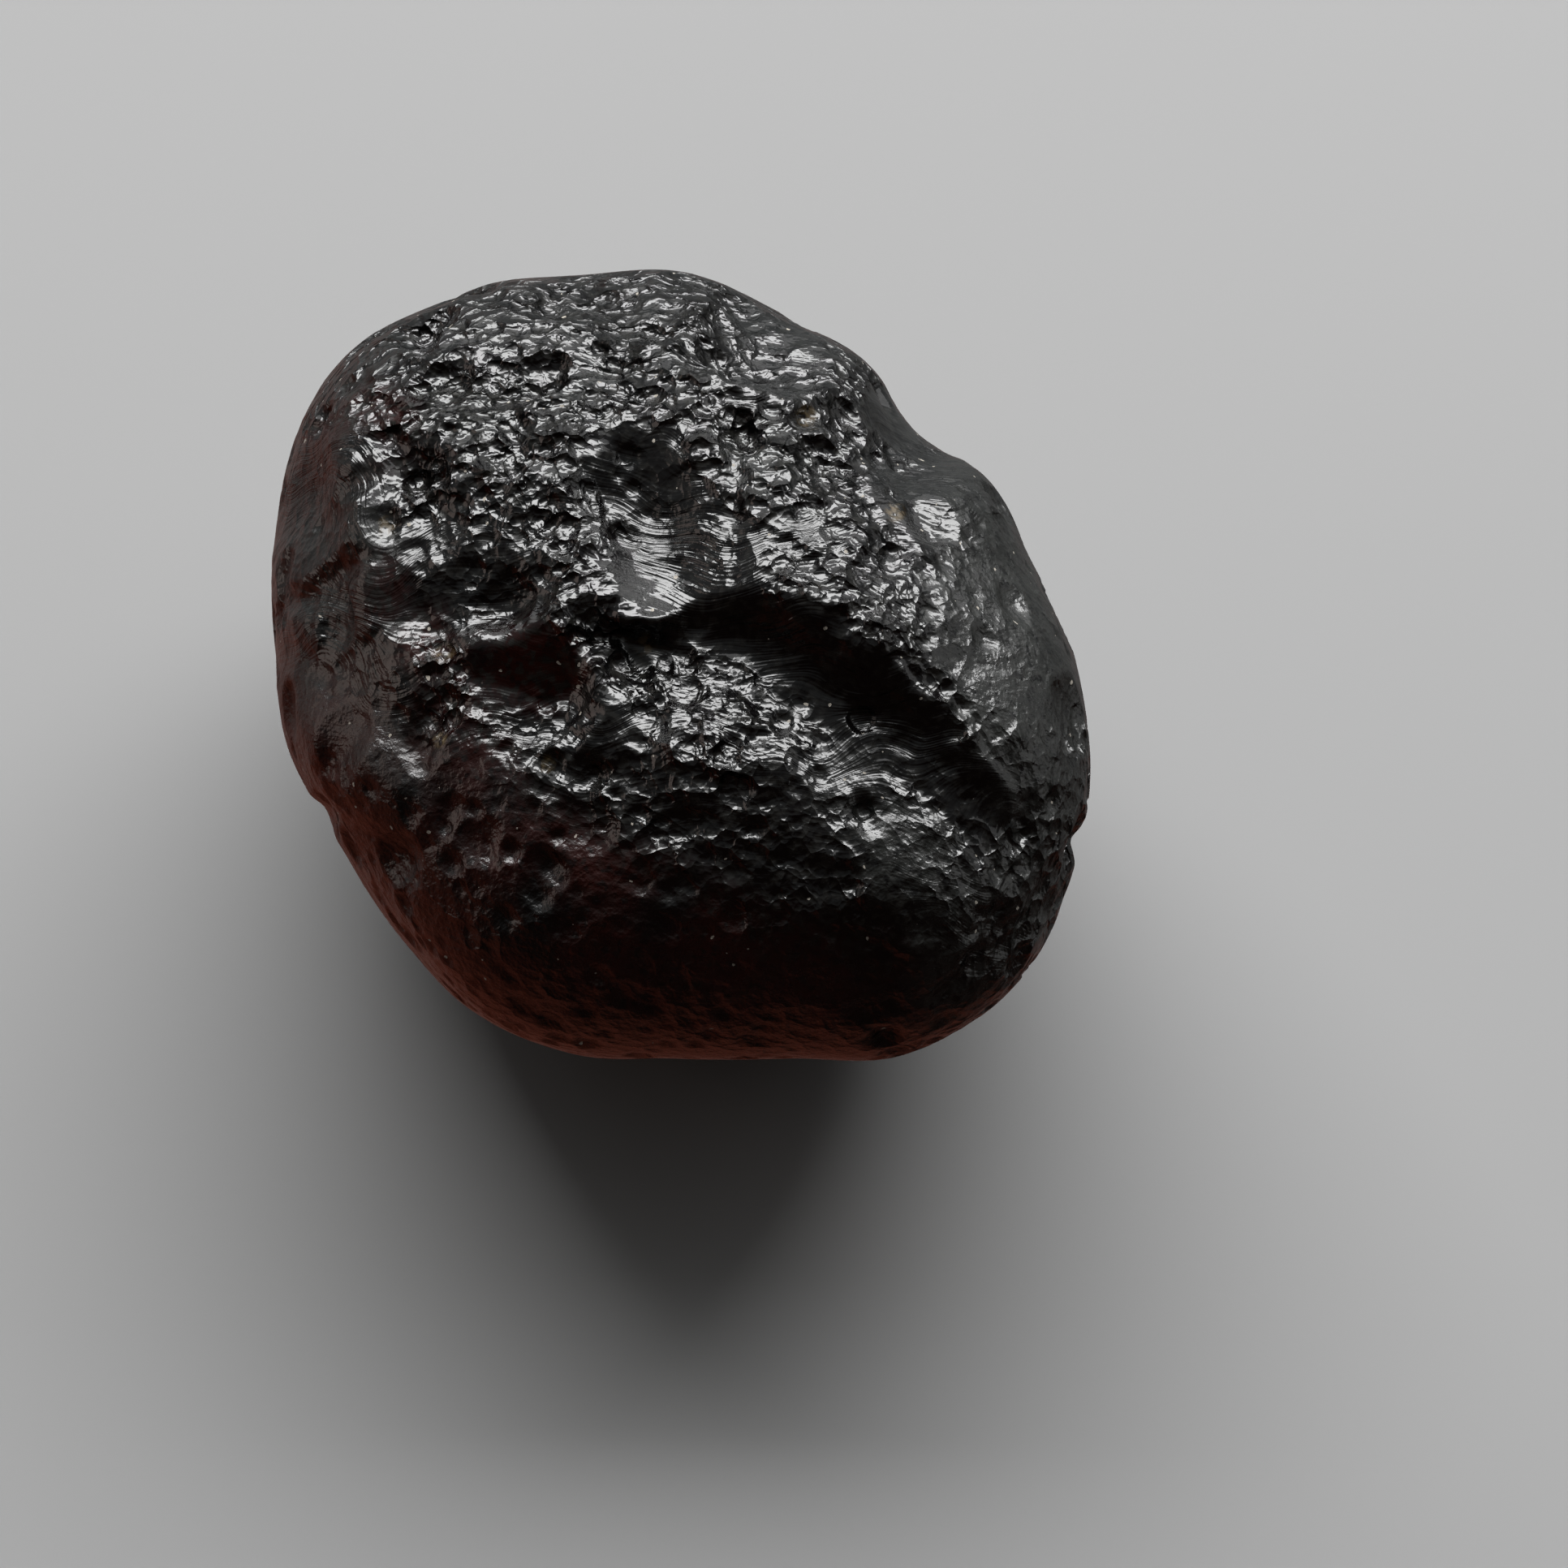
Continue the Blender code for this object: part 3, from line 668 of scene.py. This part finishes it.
SOILED = (
    (8.1, 5.4, 0.35, 0.8),
    (-1.1, 0.5, 0.35, 0.8),
    (4.9, 9.1, 0.35, 0.7),
    (-8.6, 0.2, 0.30, 0.7),
    (-4.7, -3.9, 0.30, 0.7),
    (-10.7, 4.9, 0.35, 0.7),
    (-8.7, -3.0, 0.25, 1.0),
)


def patch_share(patches, across, up, out):
    """The share that round patches of the face give."""
    share = np.zeros(len(across))
    for east, north, radius, most in patches:
        reach = np.hypot(across - east, up - north)
        share = np.maximum(share, most * smooth_step(1.3 * radius, 0.6 * radius, reach))
    return share * smooth_step(-3.0, 0.0, out)


# Small sharp-lipped pits crowd the skin: how many are tried, their radii, and their depth over
# their radius.
SMALL_PITS = 3200
SMALL_RADII = (0.48, 1.15)
SMALL_STEEPNESS = (0.15, 0.36)
# A few deeper pits have their own places on the face: across, up, radius.
DEEP_PITS = (
    (3.7, 9.1, 0.50),
    (4.8, 9.0, 0.45),
    (4.1, 7.7, 0.50),
    (5.5, 7.1, 0.45),
    (4.7, 5.7, 0.45),
    (2.8, 7.8, 0.40),
    (-4.8, 13.4, 0.60),
    (-9.4, 12.2, 0.55),
    (-10.8, 8.3, 0.55),
    (-8.2, 0.3, 0.50),
    (-9.6, 6.6, 0.60),
    (-8.9, 7.2, 0.50),
    (3.9, -2.4, 0.50),
    (2.1, -3.2, 0.45),
    (6.9, -5.6, 0.45),
    (-3.7, -2.9, 0.40),
    (-9.4, -4.0, 0.40),
    (-7.4, -5.6, 0.40),
    (-8.5, -6.3, 0.35),
    (-6.0, -7.1, 0.45),
    (-4.3, -6.6, 0.35),
    (-1.2, -8.4, 0.35),
)
DEEP_STEEPNESS = 0.55

RIB_SPACING = 0.42  # of the low ribs along the flow lines
RIB_HEIGHT = 0.06
PATCH_WANDER = 0.35  # how much of the flow's wander the patches of skin take part in
CROWD_WAVELENGTH = 2.4  # the small pits are crowded and deep in some places, sparse in others
CROWD_RANGE = (-0.22, 0.12)
SPARSE_SHARE = 0.6
FILM_LOSS = 0.5  # how much of the pits' depth is lost under the grey film


def pressed_pits(points, pitted):
    """How deep the small pits are at each point. Where two meet, the deeper one holds."""
    random = np.random.default_rng(SEED + 2)
    tree = kdtree.KDTree(len(points))
    for index, point in enumerate(points):
        tree.insert(point, index)
    tree.balance()
    depths = np.zeros(len(points))
    for middle in random.integers(0, len(points), SMALL_PITS):
        size, steepness, chance = random.random(3)
        if chance > 0.1 + 0.9 * pitted[middle]:  # few pits are made where the skin is hardly pitted
            continue
        radius = SMALL_RADII[0] + (SMALL_RADII[1] - SMALL_RADII[0]) * size**4
        radius *= 0.5 + 0.5 * pitted[middle]
        depth = radius * (SMALL_STEEPNESS[0] + (SMALL_STEEPNESS[1] - SMALL_STEEPNESS[0]) * steepness)
        for _, index, gap in tree.find_range(points[middle], radius):
            depths[index] = max(depths[index], depth * (1.0 - (gap / radius) ** 3))
    across, up, out = (points @ axis for axis in (ACROSS, UP, OUT))
    for east, north, radius in DEEP_PITS:
        gaps = np.hypot(across - east, up - north) / radius
        sunk = DEEP_STEEPNESS * radius * (1.0 - gaps**3) * (out > 0.0)
        depths = np.maximum(depths, sunk)
    return depths


def rippled(flow):
    """A soft rise and fall, from -1 to 1, from one flow line to the next."""
    return np.array([noise.noise(Vector((0.0, 0.0, level / RIB_SPACING))) for level in flow])


# The flow and the patches of skin are read at places that soft noise has moved about.
moved = points.copy()
for wavelength, reach in FLOW_WANDERS:
    moved += reach * np.array([noise.noise_vector(Vector(p) / wavelength) for p in points])
flow = flow_height(*(moved @ axis for axis in (ACROSS, UP, OUT)))
moved = points + PATCH_WANDER * (moved - points)
face_place = [moved @ axis for axis in (ACROSS, UP, OUT)]
pitted, combed, smooth = skin_shares(*face_place)
filmed = patch_share(FILMED, *face_place)
# The brown is partly the glass's own tint and partly a painted warm reflection, on the smooth lower stretch and
# the brown patches.
browned_and_warm_reflection = np.maximum(smooth, patch_share(BROWNED_AND_WARM_REFLECTION, *face_place))
soiled = patch_share(SOILED, *(points @ axis for axis in (ACROSS, UP, OUT)))
pitted *= 1.0 - FILM_LOSS * filmed
crowded = np.array([noise.noise(Vector(p) / CROWD_WAVELENGTH) for p in points])
pitted *= SPARSE_SHARE + (1.0 - SPARSE_SHARE) * smooth_step(*CROWD_RANGE, crowded)
pits = pressed_pits(points, pitted) * smooth_step(0.0, WORN_ROUND, points[:, 2] + HALF_HEIGHT)
ribs = RIB_HEIGHT * combed * rippled(flow)
normals = rows_of(skin, "normal")
points += normals * (ribs - pits)[:, None]
points[:, 2] = np.maximum(points[:, 2], WORN_FLAT_DEPTH - HALF_HEIGHT)

# The lump is moved so that it lies where the CAD solid lies. The move is also where the form's own
# middle then is.
low, high = points.min(axis=0), points.max(axis=0)
cad_low, cad_high = (np.array(corner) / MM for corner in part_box("tektite"))
rest = np.array([*((cad_low + cad_high - low - high) / 2)[:2], cad_low[2] - low[2]])
skin.vertices.foreach_set("co", ((points + rest) * MM).ravel())
skin.update()
bpy.ops.object.shade_smooth()

# What the material reads at each point of the skin.
skin_values = {
    "flow": flow,
    "pitted": pitted,
    "combed": combed,
    "smooth": smooth,
    "filmed": filmed,
    "browned_and_warm_reflection": browned_and_warm_reflection,
    "soiled": soiled,
}
for name, values in skin_values.items():
    skin.attributes.new(name, "FLOAT", "POINT").data.foreach_set("value", values.astype(np.float32))

# The colours of fresh glass, and of what lies on it.
FRESH_GLASS = (0.0012, 0.0012, 0.0013)
BROWN_GLASS_AND_WARM_REFLECTION = (0.0150, 0.0014, 0.0006)
# Brown of the glass itself, and in part a painted warm reflection.
PALE_HAZE = (0.0070, 0.0066, 0.0058)
GREY_FILM = (0.0100, 0.0105, 0.0095)
OCHRE_SOIL = (0.055, 0.036, 0.012)
PALE_DUST = (0.22, 0.20, 0.17)
MIX_FIRST, MIX_SECOND, MIXED = 6, 7, 2  # the sockets of a mix node's two colours and of its result


def glass_material():
    """Black glass, glossy where it is fresh and matt where it is weathered, with all its fine relief."""
    material = bpy.data.materials.new("black_glass")
    material.use_nodes = True
    nodes, links = material.node_tree.nodes, material.node_tree.links
    shader = nodes["Principled BSDF"]
    shader.inputs["IOR"].default_value = 1.51

    def node(kind, inputs, **settings):
        """A new node with its inputs linked to sockets or set to values."""
        made = nodes.new(kind)
        for name, value in settings.items():
            setattr(made, name, value)
        for name, value in inputs.items():
            if isinstance(value, bpy.types.NodeSocket):
                links.new(value, made.inputs[name])
            else:
                made.inputs[name].default_value = value
        return made

    def maths(operation, first, second=0.0, third=0.0):
        """The result of a maths node."""
        return node("ShaderNodeMath", {0: first, 1: second, 2: third}, operation=operation).outputs[0]

    def attribute(name):
        """One of the values that the skin's points hold."""
        return node("ShaderNodeAttribute", {}, attribute_name=name).outputs["Fac"]

    place = node("ShaderNodeTexCoord", {}).outputs["Object"]
    in_mm = node("ShaderNodeVectorMath", {0: place, "Scale": 1 / MM}, operation="SCALE").outputs[0]
    pit_share = attribute("pitted")
    line_share = attribute("combed")
    smooth_share = attribute("smooth")
    film_share = attribute("filmed")

    def lines(spacing, run, detail):
        """Lines that follow the flow, from 0 to 1, each as long as the run."""
        level = maths("DIVIDE", attribute("flow"), spacing)
        slow = node("ShaderNodeVectorMath", {0: in_mm, "Scale": 1 / run}, operation="SCALE").outputs[0]
        settings = {"Vector": slow, "W": level, "Scale": 1.0, "Detail": detail, "Roughness": 0.6}
        return node("ShaderNodeTexNoise", settings, noise_dimensions="4D").outputs["Fac"]

    def grain(size, detail=2.0):
        """Soft noise from 0 to 1, with lumps of about this size in millimetres."""
        settings = {"Vector": in_mm, "Scale": 1 / size, "Detail": detail}
        return node("ShaderNodeTexNoise", settings).outputs["Fac"]

    def patch(size, low, high):
        """Soft patches: 0 where the grain is low, 1 where it is high."""
        settings = {"Value": grain(size, 1.0), "From Min": low, "From Max": high}
        return node("ShaderNodeMapRange", settings).outputs[0]

    # The cells that the cups and holes lie in are pushed about, so that none is a plain polygon.
    push = node("ShaderNodeTexNoise", {"Vector": in_mm, "Scale": 1.4, "Detail": 2.0}).outputs["Color"]
    push = node("ShaderNodeVectorMath", {0: push, 1: (0.5, 0.5, 0.5)}, operation="SUBTRACT").outputs[0]
    pushed = {0: push, 1: (0.5, 0.5, 0.5), 2: in_mm}
    bent = node("ShaderNodeVectorMath", pushed, operation="MULTIPLY_ADD").outputs[0]

    def cells(size):
        """Bent cells of about this size in millimetres."""
        return node("ShaderNodeTexVoronoi", {"Vector": bent, "Scale": 1 / size})

    def cups(size, steepness):
        """Shallow bowls side by side, with sharp ridges where they meet, in millimetres."""
        return maths("MULTIPLY", maths("POWER", cells(size).outputs["Distance"], 2.0), steepness * size)

    # The relief: two sizes of cups, ribs and hairs along the flow, and a fine grain where it is matt.
    clusters = maths("MULTIPLY", maths("MULTIPLY_ADD", patch(2.0, 0.36, 0.52), 0.6, 0.4), pit_share)
    height = maths("MULTIPLY", cups(0.70, 0.80), clusters)
    height = maths("MULTIPLY_ADD", cups(0.36, 0.26), maths("MULTIPLY_ADD", pit_share, 0.9, 0.1), height)
    ribs, hairs = lines(0.30, 2.2, 0.0), lines(0.09, 1.6, 0.5)
    height = maths("MULTIPLY_ADD", ribs, maths("MULTIPLY_ADD", line_share, 0.060, 0.002), height)
    height = maths("MULTIPLY_ADD", hairs, maths("MULTIPLY_ADD", line_share, 0.042, 0.002), height)
    height = maths("MULTIPLY", height, maths("MULTIPLY_ADD", smooth_share, -0.35, 1.0))
    matt = maths("MAXIMUM", smooth_share, maths("MULTIPLY", film_share, 0.8))
    height = maths("MULTIPLY_ADD", grain(0.22), maths("MULTIPLY_ADD", matt, 0.055, 0.001), height)
    bump = node("ShaderNodeBump", {"Height": height, "Distance": MM, "Strength": 1.0})
    links.new(bump.outputs["Normal"], shader.inputs["Normal"])

    def tinted(share, under, colour):
        """The colour laid over what is under it."""
        under = (*under, 1.0) if isinstance(under, tuple) else under
        colours = {"Factor": share, MIX_FIRST: under, MIX_SECOND: (*colour, 1.0)}
        return node("ShaderNodeMix", colours, data_type="RGBA").outputs[MIXED]

    # Weathered ground, with small holes through to fresh glass, and brown that is partly the glass's own tint
    # and partly a painted warm reflection, on the smooth lower stretch and on patches to the left.
    holes = maths("MULTIPLY_ADD", grain(0.30), 1.3, maths("SUBTRACT", cells(0.42).outputs["Distance"], 0.65))
    ground = node("ShaderNodeMapRange", {"Value": holes, "From Min": 0.20, "From Max": 0.40}).outputs[0]
    # This brown is partly the glass's own and partly a painted warm reflection.
    brown_and_warm_reflection = node("ShaderNodeMapRange", {"Value": grain(3.0), "From Min": 0.30, "From Max": 0.6}).outputs[0]
    brown_and_warm_reflection = maths("MULTIPLY", brown_and_warm_reflection, maths("MULTIPLY_ADD", attribute("browned_and_warm_reflection"), 0.97, 0.03))
    brown_and_warm_reflection = maths("MULTIPLY", brown_and_warm_reflection, maths("MULTIPLY_ADD", ground, 0.7, 0.3))
    colour = tinted(brown_and_warm_reflection, FRESH_GLASS, BROWN_GLASS_AND_WARM_REFLECTION)
    # A thin haze lies in patches, and the grey film on the flanks.
    haze = maths("MULTIPLY", patch(0.35, 0.48, 0.62), maths("MULTIPLY_ADD", line_share, -0.5, 1.0))
    haze = maths("MULTIPLY", haze, maths("MULTIPLY_ADD", smooth_share, -0.8, 1.0))
    colour = tinted(haze, colour, PALE_HAZE)
    film = maths("MULTIPLY", ground, maths("MULTIPLY_ADD", patch(0.9, 0.35, 0.6), 0.5, 0.5))
    film = maths("MULTIPLY", film, film_share)
    colour = tinted(film, colour, GREY_FILM)
    # Soil in a few pits, and specks of dust of many sizes.
    soil = maths("MULTIPLY", attribute("soiled"), patch(0.3, 0.4, 0.6))
    colour = tinted(soil, colour, OCHRE_SOIL)
    dust = cells(0.7)
    luck = node("ShaderNodeSeparateColor", {"Color": dust.outputs["Color"]}).outputs["Red"]
    speck = maths("LESS_THAN", dust.outputs["Distance"], maths("MULTIPLY_ADD", luck, 0.27, -0.14))
    colour = tinted(speck, colour, PALE_DUST)
    links.new(colour, shader.inputs["Base Color"])

    # Fresh glass is glossy, and each layer on it is rougher.
    rough = maths("MULTIPLY_ADD", haze, 0.14, maths("MULTIPLY_ADD", smooth_share, 0.16, 0.11))
    rough = maths("MULTIPLY_ADD", film, 0.18, rough)
    rough = maths("MAXIMUM", rough, maths("MULTIPLY", maths("MAXIMUM", soil, speck), 0.7))
    links.new(rough, shader.inputs["Roughness"])
    return material


skin.materials.append(glass_material())
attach(lump, "root")
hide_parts("tektite")


# ---- The floor ----
# A pale matte sheet under the lump. It isn't part of the object.
bpy.ops.mesh.primitive_plane_add(size=3.0)
floor = bpy.context.object
floor.name = "floor"
floor.visible_glossy = False  # the glass doesn't mirror it
paper = bpy.data.materials.new("pale_floor")
paper.use_nodes = True
paper_shader = paper.node_tree.nodes["Principled BSDF"]
paper_shader.inputs["Base Color"].default_value = (0.20, 0.20, 0.20, 1.0)
paper_shader.inputs["Roughness"].default_value = 0.8
floor.data.materials.append(paper)
floor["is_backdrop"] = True


# ---- The lights ----
# A wide soft light from above makes the glints, with a weak band under it and weak ones at the sides.
right, above, towards = (Vector(axis) for axis in (ACROSS, UP, OUT))
middle = Vector(rest * MM)
LIGHT_DISTANCE = 0.5


def soft_box(name, direction, width, height, radiance, colour=(1.0, 1.0, 1.0)):
    """An area light that faces the lump, at a radiance in watts a square metre a steradian."""
    light = bpy.data.lights.new(name, "AREA")
    light.shape = "RECTANGLE"
    light.size = width
    light.size_y = height
    light.energy = radiance * math.pi * width * height
    light.color = colour
    lamp = bpy.data.objects.new(name, light)
    bpy.context.collection.objects.link(lamp)
    back = direction.normalized()
    side = (right - right.dot(back) * back).normalized()
    lamp.matrix_world = Matrix((side, back.cross(side), back)).transposed().to_4x4()
    lamp.location = middle + back * LIGHT_DISTANCE


soft_box("key", right * 0.07 + above * 0.96 + towards * 0.26, 0.84, 0.25, 13.0)
soft_box("key_skirt", right * 0.07 + above * 0.78 + towards * 0.61, 0.80, 0.20, 1.2)
soft_box("top_light", right * 0.1 + above * 0.95 - towards * 0.28, 1.1, 0.28, 0.9)
soft_box("right_key", right * 0.84 + above * 0.45 + towards * 0.28, 0.30, 0.22, 0.5)
soft_box("left_fill", right * -1.0 + above * 0.15 + towards * 0.1, 0.3, 0.3, 0.9, (1.0, 0.82, 0.74))
soft_box("right_fill", right * 1.0 + above * 0.1 - towards * 0.1, 0.3, 0.3, 0.4)

# The surroundings are dim above, dark below and a warm brown behind to the lower left.
world = bpy.data.worlds.new("studio")
world.use_nodes = True
nodes, links = world.node_tree.nodes, world.node_tree.links
gaze = nodes.new("ShaderNodeTexCoord").outputs["Generated"]


def blended(first, second, direction, low, high):
    """The first colour, turning to the second as the gaze turns towards a direction, by its cosine."""
    turn = nodes.new("ShaderNodeVectorMath")
    turn.operation = "DOT_PRODUCT"
    turn.inputs[1].default_value = direction.normalized()
    share = nodes.new("ShaderNodeMapRange")
    share.inputs["From Min"].default_value = low
    share.inputs["From Max"].default_value = high
    mixed = nodes.new("ShaderNodeMix")
    mixed.data_type = "RGBA"
    mixed.inputs[MIX_SECOND].default_value = second
    if isinstance(first, tuple):
        mixed.inputs[MIX_FIRST].default_value = first
    else:
        links.new(first, mixed.inputs[MIX_FIRST])
    links.new(gaze, turn.inputs[0])
    links.new(turn.outputs["Value"], share.inputs["Value"])
    links.new(share.outputs["Result"], mixed.inputs["Factor"])
    return mixed.outputs[MIXED]


DARK_BELOW = (0.030, 0.018, 0.015, 1.0)
WARM_BEHIND = (0.17, 0.045, 0.028, 1.0)
DIM_ABOVE = (0.30, 0.32, 0.32, 1.0)
lower_left = -right * 0.65 - above * 0.4 - towards * 0.65
below = blended(DARK_BELOW, WARM_BEHIND, lower_left, 0.4, 0.9)
around = blended(below, DIM_ABOVE, above, -0.3, 0.9)
links.new(around, nodes["Background"].inputs["Color"])
nodes["Background"].inputs["Strength"].default_value = 1.0
bpy.context.scene.world = world
bpy.context.scene.view_settings.view_transform = "Standard"


# ---- The camera ----
# It looks square at the face, with the lump a little up and left of the picture's middle.
IMAGE_SIDE = 1932  # pixels
LUMP_MIDDLE = (836, 815)  # where the lump's middle is in the picture, in pixels
PIXELS_PER_MM = 32.6
CAMERA_DISTANCE = 0.40

camera = bpy.data.cameras.new("camera")
camera.sensor_width = 36.0
camera.lens = camera.sensor_width * CAMERA_DISTANCE / (IMAGE_SIDE / PIXELS_PER_MM * MM)
camera.clip_start = 0.01
viewer = bpy.data.objects.new("camera", camera)
bpy.context.collection.objects.link(viewer)
# The camera is moved sideways, and not turned, to put the lump there.
aim = middle + right * (IMAGE_SIDE / 2 - LUMP_MIDDLE[0]) / PIXELS_PER_MM * MM
aim -= above * (IMAGE_SIDE / 2 - LUMP_MIDDLE[1]) / PIXELS_PER_MM * MM
viewer.location = aim + towards * CAMERA_DISTANCE
viewer.rotation_euler = towards.to_track_quat("Z", "Y").to_euler()
bpy.context.scene.camera = viewer

sizes = {name: [list(corner) for corner in box] for name, box in (("cad", cad_box), ("visual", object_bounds()))}
